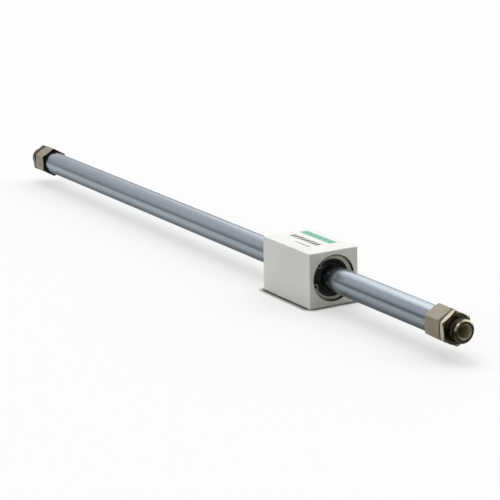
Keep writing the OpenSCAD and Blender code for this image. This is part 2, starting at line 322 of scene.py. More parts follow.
# Evenly spaced strokes along X, as a mask
def strokes(tree, along, pitch, share):
    step = calc(tree, "FRACT", calc(tree, "DIVIDE", along, pitch * mm))
    near = calc(tree, "ABSOLUTE", calc(tree, "SUBTRACT", step, 0.5))
    return remap(tree, near, share / 2 - 0.03, share / 2 + 0.03, 1.0, 0.0)


# A printed bar on top of the block, given from the block's middle in millimetres
def printBar(tree, coord, x, y, length, width, **more):
    return useGroup(tree, printGroup, Vector=coord, Centre_X=(blockX + x) * mm, Centre_Y=y * mm,
                    Length=length * mm, Width=width * mm, **more)["Mask"]


sliderFinish = {
    "colour": (0.80, 0.785, 0.76), "dark": (0.75, 0.735, 0.71), "worn": (0.9, 0.89, 0.87), "wear": 0.65,
    "paintedBoreShade": (0.03, 0.029, 0.024), "paintedShadeTo": 16.35, "paintedShadeFade": 0.12, "metallic": 0.35,
    "roughness": 0.49, "polish": 0.15, "relief": 0.22, "grain": 0.22, "patch": 26.0,
}


def makeSliderAluminium():
    material, tree, shader, coord = newMaterial("sliderAluminium")
    f, p = sliderFinish, printing
    texture, wear = grainAndWear(tree, coord, f["grain"], f["patch"], f["wear"], detail=4.0)
    metal = blendColours(tree, texture["Patches"], rgb(*f["dark"]), rgb(*f["colour"]))
    metal = blendColours(tree, wear, metal, rgb(*f["worn"]))

    place = split(tree, coord)
    onTop = remap(tree, place["Z"], (blockSide - 0.1) * mm, (blockSide - 0.05) * mm)
    band = printBar(tree, coord, p["bandX"], p["bandY"], p["bandLength"], p["bandWidth"])
    inner = printBar(tree, coord, p["bandX"], p["bandY"], p["bandLength"] - p["strokeInset"],
                     p["bandWidth"] * p["strokeHeight"], Edge=p["strokeEdge"] * mm)
    inner = times(tree, inner, strokes(tree, place["X"], p["bandPitch"], p["bandShare"]))
    bandColour = blendColours(tree, inner, rgb(*p["bandPale"]), rgb(*p["bandColour"]))
    ink = 0.0
    for kind in ("tick", "fine"):
        marks = strokes(tree, place["X"], p[kind + "Pitch"], p[kind + "Share"])
        ink = calc(tree, "MAXIMUM", ink, times(tree, printBar(tree, coord, *p[kind + "Row"]), marks))
    # Ink lies thinner where the blasted grain stands high
    thickness = remap(tree, texture["Grain"], 0.4, 0.8, 1.0, 0.8)
    band = times(tree, band, onTop, thickness)
    ink = times(tree, ink, onTop, thickness)
    printed = blendColours(tree, band, metal, bandColour)
    printed = blendColours(tree, ink, printed, rgb(*p["inkColour"]))
    # Painted shade: the machined bore is painted dark out to its rim, as the recess lies in shade
    bore = remap(tree, radialDistance(tree, coord), f["paintedShadeTo"] * mm, (f["paintedShadeTo"] + f["paintedShadeFade"]) * mm,
                 1.0, 0.0)
    feed(tree, shader, "Base Color", blendColours(tree, bore, printed, rgb(*f["paintedBoreShade"])))
    bare = calc(tree, "SUBTRACT", 1.0, calc(tree, "MAXIMUM", band, ink))
    feed(tree, shader, "Metallic", times(tree, bare, f["metallic"]))
    gloss = grainGloss(tree, texture, f["roughness"])
    feed(tree, shader, "Roughness", calc(tree, "SUBTRACT", gloss, times(tree, wear, f["polish"])))
    bump(tree, shader, texture["Grain"], f["relief"], 0.02)
    return material


# Rubber, plastic, felt, black holders and oily ports: dull, with grain and dusty patches
def makeMatt(name, colour, dusty, roughness, grain=0.3, relief=0.2, metallic=0.0, sheen=0.0):
    material, tree, shader, coord = newMaterial(name)
    texture, wear = grainAndWear(tree, coord, grain, 5.0, 0.55)
    shade = blendColours(tree, texture["Patches"], rgb(*colour), rgb(*dusty))
    feed(tree, shader, "Base Color", blendColours(tree, wear, shade, rgb(*(1.8 * c for c in dusty))))
    feed(tree, shader, "Roughness", grainGloss(tree, texture, roughness))
    feed(tree, shader, "Metallic", metallic)
    feed(tree, shader, "Sheen Weight", sheen)
    bump(tree, shader, texture["Grain"], relief, 0.03)
    return material


materials = {
    "tube_steel": makeTubeSteel(),
    "cover_metal": makeMetal("coverNickel", (0.31, 0.27, 0.20), (0.26, 0.225, 0.162), 0.38, turned=0.5,
                             worn=0.75, metallic=0.2),
    # The oiled thread finish also paints shade on the covers' end faces
    "thread_metal": makeMetal("oiledThreadAndPaintedShade", (0.055, 0.047, 0.03), (0.02, 0.017, 0.011), 0.22, worn=0.15,
                              crest=(7.95, 0.07, (0.16, 0.14, 0.095))),
    "tip_metal": makeMetal("noseTipNickel", (0.58, 0.53, 0.39), (0.46, 0.415, 0.29), 0.13, spread=0.06,
                           relief=0.1, turned=0.3, worn=0.3),
    "port_metal": makeMatt("portNickel", (0.29, 0.26, 0.16), (0.35, 0.315, 0.20), 0.4, metallic=0.3),
    "nut_steel": makeMetal("nutNickel", (0.70, 0.64, 0.50), (0.62, 0.56, 0.43), 0.19, turned=0.3, worn=0.7),
    # A darker copy of the nut finish, painted shade for the far nut
    "nut_shaded": makeMetal("nutPaintedShade", (0.17, 0.155, 0.12), (0.12, 0.108, 0.083), 0.3, turned=0.3, worn=0.3),
    "slider_aluminium": makeSliderAluminium(),
    "ring_steel": makeMetal("ringSteel", (0.32, 0.305, 0.25), (0.23, 0.22, 0.17), 0.34, worn=0.8),
    "holder_black": makeMatt("holderBlack", (0.04, 0.039, 0.036), (0.055, 0.053, 0.05), 0.42, metallic=0.4),
    "rubber_black": makeMatt("rubberBlack", (0.014, 0.014, 0.015), (0.028, 0.028, 0.028), 0.5, grain=0.15),
    "bumper_urethane": makeMatt("bumperUrethane", (0.55, 0.40, 0.10), (0.62, 0.48, 0.17), 0.45),
    "felt": makeMatt("oiledFelt", (0.46, 0.40, 0.27), (0.58, 0.52, 0.38), 0.9, grain=0.12, relief=0.6,
                     sheen=0.4),
    "bearing_resin": makeMatt("bearingResin", (0.66, 0.62, 0.50), (0.72, 0.68, 0.57), 0.5),
    "piston_brass": makeMetal("pistonBrass", (0.62, 0.46, 0.20), (0.52, 0.37, 0.15), 0.28, turned=1.0),
    "shaft_steel": makeMetal("shaftSteel", (0.50, 0.52, 0.54), (0.42, 0.44, 0.46), 0.25, turned=0.6),
    "magnet": makeMetal("magnetNickel", (0.42, 0.43, 0.45), (0.34, 0.35, 0.37), 0.3, worn=0.4),
    "yoke_steel": makeMetal("yokeZinc", (0.52, 0.54, 0.56), (0.44, 0.46, 0.48), 0.34, turned=0.8),
}
print("materials made:", len(materials))


# Every turned or milled piece is a section carried along the tube, so it is built as a loft.
# A polygon section has its flats at the given size from the axis, and rounded corners.


# Half the angle that a rounded corner takes up
def cornerReach(size, corner, flats):
    return math.pi / flats - math.atan((size - corner) * math.tan(math.pi / flats) / size)


# Angle to the middle of the nearest corner
def cornerDistance(angle, flats, turn):
    sector = 2 * math.pi / flats
    return sector / 2 - abs((angle - turn + sector / 2) % sector - sector / 2)


def polygonRadius(angle, size, corner, flats, turn=0.0):
    half, away = math.pi / flats, cornerDistance(angle, flats, turn)
    if away > cornerReach(size, corner, flats):
        return size / math.cos(half - away)
    middle = (size - corner) / math.cos(half)
    return middle * math.cos(away) + math.sqrt(corner ** 2 - (middle * math.sin(away)) ** 2)


# Angles round the section: even along the flats, close together round each corner
def polygonAngles(size, corner, flats, turn=0.0, perFlat=12, perCorner=6):
    sector = 2 * math.pi / flats
    tangent = cornerReach(size, corner, flats)
    start, end = -sector / 2 + tangent, sector / 2 - tangent
    margin = tangent * 0.15
    steps = [start, start + margin]
    steps += [start + margin + (end - start - 2 * margin) * i / perFlat for i in range(1, perFlat)]
    steps += [end - margin, end]
    steps += [end + 2 * tangent * i / perCorner for i in range(1, perCorner)]
    return [turn + sector * side + step for side in range(flats) for step in steps]


def roundAngles(count):
    return [2 * math.pi * i / count for i in range(count)]


# 1 on a rounded corner of the section and 0 on its flats, for the wear on long edges
def cornerMark(angle, size, corner, flats, turn=0.0):
    return float(cornerDistance(angle, flats, turn) < cornerReach(size, corner, flats) * 0.95)


def circle(angle, radius, edge):
    return radius, edge


# A row is a function from the angle to (x, radius, edge mark), and the last row joins the first
def makeRow(x, size, edge=0.0, section=circle):
    return lambda angle: (x, *section(angle, size, edge))


# A path along X that is the same at both ends, from its first half
def bothEnds(half):
    return half + [(-x, size, arc) for x, size, arc in reversed(half)]


meshForm = {"arcSteps": 3, "arcMargin": 0.3, "segments": 144, "weld": 0.0005, "sharpAngle": 28.0}


# The path goes round each corner on a small arc, and only the arc is marked as edge.
# Each point is (x, radius, the arc's size), in millimetres
def softRows(points, section=circle):
    steps, margin, rows = meshForm["arcSteps"], meshForm["arcMargin"], []
    for index, (x, size, fillet) in enumerate(points):
        here = Vector((x, size))
        if not fillet:
            rows.append((x, size, 0.0))
            continue
        before = (Vector(points[index - 1][:2]) - here).normalized()
        after = (Vector(points[(index + 1) % len(points)][:2]) - here).normalized()
        start, end = here + before * fillet, here + after * fillet
        rows.append((*(start + before * fillet * margin), 0.0))
        for step in range(steps + 1):
            t = step / steps
            point = (1 - t) ** 2 * start + 2 * t * (1 - t) * here + t ** 2 * end
            rows.append((*point, 1.0))
        rows.append((*(end + after * fillet * margin), 0.0))
    return [makeRow(*row, section) for row in rows]


def loft(name, rows, angles, shift=(0, 0, 0), flip=False):
    verts, marks = [], []
    for row in rows:
        for angle in angles:
            x, radius, edge = row(angle)
            x = -x if flip else x
            verts.append((x * mm, radius * math.cos(angle) * mm, radius * math.sin(angle) * mm))
            marks.append(edge)
    count, total = len(angles), len(rows)
    faces = []
    for i in range(total):
        low, high = i * count, (i + 1) % total * count
        for k in range(count):
            following = (k + 1) % count
            faces.append((low + k, high + k, high + following, low + following))
    mesh = bpy.data.meshes.new(name)
    mesh.from_pydata(verts, [], faces)
    mesh.attributes.new("edge", "FLOAT", "POINT").data.foreach_set("value", marks)
    mesh.transform(Matrix.Translation(Vector(shift) * mm))
    return tidyMesh(mesh)


# Doubles merged, faces outwards, smooth with sharp edges by angle
def tidyMesh(mesh):
    work = bmesh.new()
    work.from_mesh(mesh)
    bmesh.ops.remove_doubles(work, verts=work.verts, dist=meshForm["weld"] * mm)
    bmesh.ops.recalc_face_normals(work, faces=work.faces)
    work.to_mesh(mesh)
    work.free()
    mesh.shade_smooth()
    mesh.set_sharp_from_angle(angle=math.radians(meshForm["sharpAngle"]))
    return mesh


def linkNew(name, data):
    made = bpy.data.objects.new(name, data)
    bpy.context.scene.collection.objects.link(made)
    return made


def addObject(name, mesh, *mats):
    piece = linkNew(name, mesh)
    # Clearing an empty list would still set every face back to the first material
    if mesh.materials:
        mesh.materials.clear()
    for material in mats:
        mesh.materials.append(material)
    return piece


# The object's mesh with its modifiers applied
def evaluated(piece):
    bpy.context.view_layer.update()
    return bpy.data.meshes.new_from_object(piece.evaluated_get(bpy.context.evaluated_depsgraph_get()))


# Several meshes become one, each with its own material number
def joinMeshes(name, parts):
    work = bmesh.new()
    work.verts.layers.float.new("edge")
    for mesh, number in parts:
        before = len(work.faces)
        work.from_mesh(mesh)
        work.faces.ensure_lookup_table()
        for face in work.faces[before:]:
            face.material_index = number
    joined = bpy.data.meshes.new(name)
    work.to_mesh(joined)
    work.free()
    return joined


def seat(piece, body, slotName, *nodes):
    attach(piece, body)
    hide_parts(*nodes)


# The crest is a share of the pitch, and the lift of the height
threadForm = {"crest": 0.25, "flankAngle": 30.0, "lift": 0.46, "runoutSize": 0.02}


# One tree of Geometry Nodes makes the threads of noses, ports and tapped holes
def makeThreadTree():
    tree, given, result = newGroup(
        "helicalThread",
        [("Length", "f", 0.01), ("Pitch", "f", 0.0015), ("Root Radius", "f", 0.007), ("Height", "f", 0.0009),
         ("Runout", "f", 0.1), ("Steps", "i", 48), ("Inward", "f", 0.0)],
        [("Geometry", "g")], "GeometryNodeTree")
    turns = calc(tree, "DIVIDE", given["Length"], given["Pitch"])
    helix = put(tree, "GeometryNodeCurveSpiral", {
        "Resolution": given["Steps"], "Rotations": turns, "Start Radius": given["Root Radius"],
        "End Radius": given["Root Radius"], "Height": given["Length"]})
    upright = put(tree, "GeometryNodeSetCurveNormal", {"Curve": helix}, mode="Z_UP")
    # The ridge has sloping flanks and a flat crest, and its foot is sunk into the root
    crest = times(tree, given["Pitch"], threadForm["crest"])
    slope = math.tan(math.radians(threadForm["flankAngle"]))
    foot = calc(tree, "ADD", crest, times(tree, given["Height"], 2 * slope))
    ridge = put(tree, "GeometryNodeCurvePrimitiveQuadrilateral",
                {"Bottom Width": foot, "Top Width": crest, "Height": given["Height"], "Offset": 0.0},
                mode="TRAPEZOID")
    lift = put(tree, "ShaderNodeCombineXYZ", {"Y": times(tree, given["Height"], threadForm["lift"])})
    stood = put(tree, "GeometryNodeTransform", {"Geometry": ridge, "Translation": lift})
    quarter = calc(tree, "SUBTRACT", math.pi / 2, times(tree, given["Inward"], math.pi))
    angle = put(tree, "ShaderNodeCombineXYZ", {"Z": quarter})
    turned = put(tree, "GeometryNodeTransform", {"Geometry": stood, "Rotation": angle})
    # The ridge runs out to almost nothing at both ends
    along = put(tree, "GeometryNodeSplineParameter").outputs["Factor"]
    nearEnd = calc(tree, "MINIMUM", along, calc(tree, "SUBTRACT", 1.0, along))
    size = remap(tree, nearEnd, 0.0, given["Runout"], threadForm["runoutSize"], 1.0, smooth=True)
    swept = put(tree, "GeometryNodeCurveToMesh", {"Curve": upright, "Profile Curve": turned,
                                                  "Scale": size, "Fill Caps": True})
    feed(tree, result, "Geometry", swept)
    return tree


# The same thread stood in every hole of a rectangular pattern, or once with a single point
def makePatternTree(threadTree):
    names = [item.name for item in threadTree.interface.items_tree if item.in_out == "INPUT"]
    tree, given, result = newGroup(
        "threadPattern",
        [(name, "i" if name == "Steps" else "f", None) for name in names]
        + [("Rows", "i", 1), ("Row Distance", "f", 0.0), ("Column Distance", "f", 0.0),
           ("Place", "v", None), ("Turn", "v", None), ("Finish", "m", None)],
        [("Geometry", "g")], "GeometryNodeTree")
    thread = put(tree, "GeometryNodeGroup", node_tree=threadTree)
    for name in names:
        feed(tree, thread, name, given[name])
    points = put(tree, "GeometryNodeMeshGrid", {
        "Size X": given["Row Distance"], "Size Y": given["Column Distance"],
        "Vertices X": given["Rows"], "Vertices Y": given["Rows"]})
    copies = put(tree, "GeometryNodeInstanceOnPoints", {"Points": points, "Instance": thread})
    placed = put(tree, "GeometryNodeTransform", {"Geometry": copies, "Translation": given["Place"],
                                                 "Rotation": given["Turn"]})
    solid = put(tree, "GeometryNodeRealizeInstances", {"Geometry": placed})
    finished = put(tree, "GeometryNodeSetMaterial", {"Geometry": solid, "Material": given["Finish"]})
    feed(tree, result, "Geometry", finished)
    return tree


threadTree = makeThreadTree()
patternTree = makePatternTree(threadTree)


# Runs the tree on an empty mesh and returns the result as a plain mesh; sizes in millimetres
def threadMesh(name, place, turn, finish, inward=False, rows=1, pitchX=0.0, pitchY=0.0, steps=48, **size):
    holder = addObject(name, bpy.data.meshes.new(name))
    modifier = holder.modifiers.new("thread", "NODES")
    modifier.node_group = patternTree
    values = {
        "Length": size["length"] * mm, "Pitch": size["pitch"] * mm, "Root Radius": size["root"] * mm,
        "Height": size["height"] * mm, "Runout": size["runout"], "Steps": steps, "Inward": float(inward),
        "Rows": rows, "Row Distance": pitchX * mm, "Column Distance": pitchY * mm,
        "Place": [v * mm for v in place], "Turn": [math.radians(v) for v in turn], "Finish": finish,
    }
    for item in patternTree.interface.items_tree:
        if item.in_out == "INPUT":
            modifier[item.identifier] = values[item.name]
    made = evaluated(holder)
    bpy.data.objects.remove(holder)
    return tidyMesh(made)


tubeForm = {"wall": 1.0, "endFillet": 0.15, "segments": 180}


def makeTube():
    inner = tubeRadius - tubeForm["wall"]
    fillet = tubeForm["endFillet"]
    rows = softRows(bothEnds([(-tubeEnd, inner, fillet), (-tubeEnd, tubeRadius, fillet)]))
    mesh = loft("tubeSkin", rows, roundAngles(tubeForm["segments"]))
    tube = addObject("tubeSkin", mesh, materials["tube_steel"])
    seat(tube, "barrel", "tube_steel", "cylinder_tube")
    print("tube:", len(tube.data.polygons), "faces")


makeTube()


hexForm = {"across": 21.0, "chamfer": 0.25, "slope": 30.0, "corner": 0.22, "bevel": 0.09, "land": 0.3}


# Both faces' chamfers follow the hexagon: each row is a function of the angle
def hexBand(x0, x1, turn):
    f = hexForm
    size, face = f["across"] / 2, f["across"] / 2 - f["chamfer"]
    slope, bevel = math.tan(math.radians(f["slope"])), f["bevel"]

    def rim(angle):
        return polygonRadius(angle, size, f["corner"], 6, turn)

    def onChamfer(x, inwards):
        def row(angle):
            run = max(rim(angle) - face - bevel, 0.3 * (rim(angle) - face))
            return x + inwards * run * slope, face + run, 0.6
        return row

    def onFlat(x, inwards, extra, edge):
        def row(angle):
            mark = max(edge, cornerMark(angle, size, f["corner"], 6, turn))
            return x + inwards * ((rim(angle) - face) * slope + extra), rim(angle), mark
        return row

    return [
        makeRow(x0, face - f["land"]), makeRow(x0, face - bevel, 1.0),
        makeRow(x0 + bevel * 0.25, face + bevel * 0.2, 1.0), onChamfer(x0, 1),
        onFlat(x0, 1, bevel, 1.0), onFlat(x0, 1, 3 * bevel, 0.0),
        onFlat(x1, -1, 3 * bevel, 0.0), onFlat(x1, -1, bevel, 1.0),
        onChamfer(x1, -1), makeRow(x1 - bevel * 0.25, face + bevel * 0.2, 1.0),
        makeRow(x1, face - bevel, 1.0), makeRow(x1, face - f["land"]),
    ]


coverForm = {
    "hexLength": 15.5, "nutGap": 1.3, "noseRadius": 8.0, "rootRadius": 7.1, "tipRadius": 6.75,
    "tipChamfer": 1.1, "tipSlope": 0.25, "crestDrop": 0.06, "threadPitch": 1.5, "threadLead": 0.4,
    "threadRunout": 0.07, "threadSunk": 0.02, "portMajor": 4.86, "portWall": 4.76, "portCore": 4.3,
    "portPitch": 0.907, "portDepth": 12.0, "portRunout": 0.06, "portSlope": 0.6, "portSpare": 2.0,
    "countersink": 5.3, "sinkDepth": 0.7, "drillTip": 30.0, "passage": 2.25, "seatDepth": 8.0,
    "seatFit": 0.02, "sealGroove": (3.05, 4.95), "grooveRadius": 6.4, "spigotLength": 4.0, "stubRadius": 4.3,
    "fine": 0.1, "edge": 0.12, "rounded": 0.15, "soft": 0.2, "undercut": 0.25, "darkFaceDepth": 1.2,
    "oilAndShadeMargin": 0.02, "polishMargin": 0.05, "endFacing": 0.4, "noseSteps": 60,
}


def makeCover(side):
    f, flip = coverForm, side == "left"
    hexEnd = nutLow.x - f["nutGap"]
    hexStart = hexEnd - f["hexLength"]
    seatEnd, spigotEnd = hexStart + f["seatDepth"], hexStart - f["spigotLength"]
    bore, spigot = tubeRadius + f["seatFit"], tubeRadius - tubeForm["wall"] - f["seatFit"]
    grooveStart, grooveEnd = (hexStart + x for x in f["sealGroove"])
    chamferStart, portEnd = noseTip - f["tipChamfer"], noseTip - f["portDepth"]
    drillRun = (f["portCore"] - f["passage"]) * math.tan(math.radians(f["drillTip"]))
    fine, edge, rounded, soft = f["fine"], f["edge"], f["rounded"], f["soft"]
    nose = softRows([
        (hexEnd, f["rootRadius"], f["undercut"]), (chamferStart - f["tipSlope"], f["rootRadius"], 0.0),
        (chamferStart, f["noseRadius"] - f["crestDrop"], edge), (noseTip, f["tipRadius"], rounded),
        (noseTip, f["countersink"], fine), (noseTip - f["sinkDepth"], f["portWall"], 0.0),
        (portEnd + f["portSlope"], f["portWall"], 0.0), (portEnd, f["portCore"], 0.0),
        (portEnd - drillRun, f["passage"], 0.0), (stubTip, f["passage"], soft),
        (stubTip, f["stubRadius"], soft), (spigotEnd, f["stubRadius"], 0.0), (spigotEnd, spigot, rounded),
        (grooveStart, spigot, 0.0), (grooveStart, f["grooveRadius"], fine),
        (grooveEnd, f["grooveRadius"], fine), (grooveEnd, spigot, 0.0),
        (seatEnd, spigot, fine), (seatEnd, bore, fine), (hexStart, bore, edge),
    ])
    angles = polygonAngles(hexForm["across"] / 2, hexForm["corner"], 6)
    body = loft(side + "Cover", hexBand(hexStart, hexEnd, 0.0) + nose, angles, flip=flip)
    parts = [(body, 0)]

    # Right-hand threads on both noses and in both ports
    def addThread(kind, end, length, **values):
        start = -end if flip else end - length
        made = threadMesh(side + kind, (start, 0, 0), (0, 90, 0), materials["thread_metal"],
                          steps=f["noseSteps"], length=length, **values)
        parts.append((made, len(parts)))

    addThread("NoseThread", chamferStart, chamferStart - nutLow.x + f["threadLead"], pitch=f["threadPitch"],
              root=f["rootRadius"] - f["threadSunk"], height=f["noseRadius"] - f["rootRadius"],
              runout=f["threadRunout"])
    addThread("PortThread", noseTip - f["sinkDepth"], f["portDepth"] - f["portSpare"], pitch=f["portPitch"],
              root=f["portWall"] + f["threadSunk"], height=f["portMajor"] - f["portCore"],
              runout=f["portRunout"], inward=True)
    joined = joinMeshes(side + "EndCover", parts)
    # The nose is oily and dark. The end face behind the nut is painted dark, painted shade in the gap,
    # and the end face against the tube is painted as dark; the tip is polished and the port has its own
    # finish
    for face in joined.polygons:
        along, away = abs(face.center.x) / mm, math.hypot(face.center.y, face.center.z) / mm
        if along > hexEnd - f["oilAndShadeMargin"]:
            polished = along > chamferStart - f["polishMargin"] and face.material_index == 0
            face.material_index = 2 if away < f["countersink"] else 3 if polished else 1
        elif along < hexStart + f["darkFaceDepth"] and away > bore and abs(face.normal.x) > f["endFacing"]:
            face.material_index = 1
    finishes = [materials[name] for name in ("cover_metal", "thread_metal", "port_metal", "tip_metal")]
    cover = addObject(side + "EndCover", joined, *finishes)
    seat(cover, "barrel", "cover_metal", side + "_end_cover")
    print(side, "end cover:", len(joined.polygons), "faces")


# The left nut is the darker one: a darker copy of the nut finish, painted shade for the far end
nutForm = {"boreRadius": 8.02, "countersink": 0.5, "fillet": 0.08, "turn": 5.0,
           "left": "nut_shaded", "right": "nut_steel"}


def makeNut(side):
    turn = math.radians(nutForm["turn"])
    bore, sink, fillet = nutForm["boreRadius"], nutForm["countersink"], nutForm["fillet"]
    inside = softRows([(nutHigh.x, bore + sink, fillet), (nutHigh.x - sink, bore, 0.0),
                       (nutLow.x + sink, bore, 0.0), (nutLow.x, bore + sink, fillet)])
    angles = polygonAngles(hexForm["across"] / 2, hexForm["corner"], 6, turn)
    mesh = loft(side + "Nut", hexBand(nutLow.x, nutHigh.x, turn) + inside, angles, flip=side == "left")
    nut = addObject(side + "MountingNut", mesh, materials[nutForm[side]])
    seat(nut, "barrel", "nut_steel", side + "_mounting_nut")


for side in sides:
    makeCover(side)
    makeNut(side)
print("end covers and nuts made")


blockForm = {
    "edgeRadius": 0.8, "chamfer": 0.5, "boreRadius": 16.0, "rimChamfer": 0.4, "softness": 0.12, "fine": 0.05,
    "grooveStart": 1.5, "grooveEnd": 2.8, "grooveRadius": 16.85, "drillStart": -1.0,
    "holePitchX": 30.0, "holePitchY": 25.0, "holeMajor": 2.0, "holeWall": 1.95,
    "holeCore": 1.65, "holeDepth": 6.0, "holeTip": 0.9, "holeSink": 0.3, "holeSegments": 40,
    "threadPitch": 0.7, "threadStart": 0.5, "threadRoot": 1.94, "threadSteps": 32, "threadRunout": 0.08,
}


def blockSection(angle, size, edge):
    shape = (angle, size, blockForm["edgeRadius"], 4)
    return polygonRadius(*shape), max(edge, cornerMark(*shape))


def makeBlock():
    f = blockForm
    end, soft, fine = blockHalf, f["softness"], f["fine"]
    outside = softRows(bothEnds([
        (-end, blockSide - f["chamfer"], soft), (-end + f["chamfer"], blockSide, soft)]), blockSection)
    bore, groove, rim = f["boreRadius"], f["grooveRadius"], f["rimChamfer"]
    grooveStart, grooveEnd = end - f["grooveStart"], end - f["grooveEnd"]
    inside = softRows(bothEnds([
        (end, bore + rim, fine), (end - rim, bore, fine), (grooveStart, bore, fine),
        (grooveStart, groove, 0.0), (grooveEnd, groove, 0.0), (grooveEnd, bore, fine)]))
    angles = polygonAngles(blockSide, f["edgeRadius"], 4, perFlat=36, perCorner=8)
    mesh = drillHoles(loft("sliderBlock", outside + inside, angles, shift=(blockX, 0, 0)))
    tapped = threadMesh(
        "holeThreads", (blockX, 0, -blockSide + f["threadStart"]), (0, 0, 0), materials["slider_aluminium"],
        inward=True, rows=2, pitchX=f["holePitchX"], pitchY=f["holePitchY"], steps=f["threadSteps"],
        length=f["holeDepth"] - f["holeTip"], pitch=f["threadPitch"], root=f["threadRoot"],
        height=f["holeMajor"] - f["holeCore"], runout=f["threadRunout"])
    joined = joinMeshes("sliderBlock", [(mesh, 0), (tapped, 0)])
    block = addObject("sliderBlock", joined, materials["slider_aluminium"])
    seat(block, "slider", "slider_aluminium", "slider_body")
    print("slider block:", len(joined.polygons), "faces")


# The four tapped holes in the underside are cut with countersunk drills
def drillHoles(mesh):
    f = blockForm
    cutter = bmesh.new()
    mouth, count = f["holeMajor"] + f["holeSink"], f["holeSegments"]
    outline = [(f["drillStart"], mouth), (0.0, mouth), (f["holeSink"], f["holeWall"]),
               (f["holeDepth"] - f["holeTip"], f["holeWall"])]

    def corner(x, y, height):
        return cutter.verts.new((x * mm, y * mm, (height - blockSide) * mm))

    for side in (-0.5, 0.5):
        for row in (-0.5, 0.5):
            x, y = blockX + side * f["holePitchX"], row * f["holePitchY"]
            rings = [[corner(x + radius * math.cos(angle), y + radius * math.sin(angle), height)
                      for angle in roundAngles(count)] for height, radius in outline]
            tip = corner(x, y, f["holeDepth"])
            cutter.faces.new(rings[0])
            for k in range(count):
                following = (k + 1) % count
                for low, high in zip(rings, rings[1:]):
                    cutter.faces.new((low[k], low[following], high[following], high[k]))
                cutter.faces.new((rings[-1][k], rings[-1][following], tip))
    bmesh.ops.recalc_face_normals(cutter, faces=cutter.faces)
    drills = bpy.data.meshes.new("drills")
    cutter.to_mesh(drills)
    cutter.free()
    drillPiece, workPiece = addObject("drills", drills), addObject("blockBlank", mesh)
    cut = workPiece.modifiers.new("holes", "BOOLEAN")
    cut.object = drillPiece
    cut.operation = "DIFFERENCE"
    cut.solver = "EXACT"
    result = evaluated(workPiece)
    for piece in (drillPiece, workPiece):
        bpy.data.objects.remove(piece)
    # The cut leaves edge marks round the holes, which would spread along the long faces
    marks = result.attributes["edge"].data
    for vert, mark in zip(result.vertices, marks):
        fromHole = math.hypot(abs(vert.co.x / mm - blockX) - f["holePitchX"] / 2,
                              abs(vert.co.y / mm) - f["holePitchY"] / 2)
        if fromHole < f["holeMajor"] + 2 * f["holeSink"]:
            mark.value = 0.0
    return tidyMesh(result)


makeBlock()

holderForm = {"outer": 15.98, "inner": 9.4, "start": 2.7, "length": 9.9, "pocket": 12.8, "pocketDepth": 4.0,
              "felt": (4.5, 6.0, 11.2), "wear": (6.5, 9.4, 10.2), "fillet": 0.2, "fine": 0.05}
scraperForm = {"inset": 1.0, "length": 3.0, "outer": 12.8, "lip": 9.03, "fillet": 0.12, "fine": 0.05,
               "lipEdge": 0.04, "lipBack": 0.08, "lipRoot": 0.1, "hollow": 0.3}


# Turns a profile given from the block's end face inwards into rows on that side of the block
def fromBlockEnd(points, side):
    sign = sides[side]
    return softRows([(blockX + sign * (blockHalf - x), radius, fillet) for x, radius, fillet in points])


def makeHolder(side):
    f = holderForm
    start, end, pocketEnd = f["start"], f["start"] + f["length"], f["start"] + f["pocketDepth"]
    inner, soft, fine = f["inner"], f["fillet"], f["fine"]
    points = [(start, f["pocket"], soft), (start, f["outer"], soft), (end, f["outer"], soft),
              (end, inner, fine)]
    for low, high, radius in (f["wear"], f["felt"]):
        points += [(start + high, inner, fine), (start + high, radius, fine),
                   (start + low, radius, fine), (start + low, inner, fine)]
    points += [(pocketEnd, inner, fine), (pocketEnd, f["pocket"], 2 * fine)]
    mesh = loft(side + "Holder", fromBlockEnd(points, side), roundAngles(meshForm["segments"]))
    holder = addObject(side + "BearingHolder", mesh, materials["holder_black"])
    seat(holder, "slider", "holder_black", side + "_bearing_holder")


def makeScraper(side):
    f, foot = scraperForm, holderForm["start"] + scraperForm["inset"]
    heel, soft, lip = (f["outer"] - f["lip"]) / 2, f["fillet"], f["lip"]
    middle, back = foot + f["length"] / 2, foot + f["length"]
    points = [
        (foot, f["outer"], soft), (back, f["outer"], f["fine"]), (back, lip + heel / 4, f["fine"]),
        (middle, lip + heel / 4, f["lipRoot"]), (foot, lip, f["lipEdge"]),
        (foot, lip + heel / 4, f["lipBack"]), (middle, f["outer"] - heel, f["hollow"]),
        (foot, f["outer"] - heel / 2, soft),
    ]
    mesh = loft(side + "Scraper", fromBlockEnd(points, side), roundAngles(meshForm["segments"]))
    scraper = addObject(side + "Scraper", mesh, materials["rubber_black"])
    seat(scraper, "slider", "rubber_black", side + "_scraper")


ringForm = {"stampedEdge": 0.12, "sharp": 35.0, "weld": 0.002, "flat": 0.5}


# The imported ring, merged from loose triangles, with the edges rounded that stamping leaves
def makeSnapRing(side):
    node = side + "_snap_ring"
    mesh = frame["nodes"][node].data.copy()
    work = bmesh.new()
    work.from_mesh(mesh)
    bmesh.ops.remove_doubles(work, verts=work.verts, dist=ringForm["weld"] * mm)
    bmesh.ops.dissolve_limit(work, angle_limit=math.radians(ringForm["flat"]), verts=work.verts,
                             edges=work.edges)
    sharp = [edge for edge in work.edges if edge.is_manifold
             and edge.calc_face_angle(0.0) > math.radians(ringForm["sharp"])]
    made = bmesh.ops.bevel(work, geom=sharp, offset=ringForm["stampedEdge"] * mm, segments=2, profile=0.6,
                           affect="EDGES", clamp_overlap=True)
    layer = work.verts.layers.float.new("edge")
    for face in made["faces"]:
        for vert in face.verts:
            vert[layer] = 1.0
    work.to_mesh(mesh)
    work.free()
    ring = addObject(side + "SnapRing", tidyMesh(mesh), materials["ring_steel"])
    seat(ring, "slider", "ring_steel", node)


for side in sides:
    makeHolder(side)
    makeScraper(side)
    makeSnapRing(side)
print("slider made")


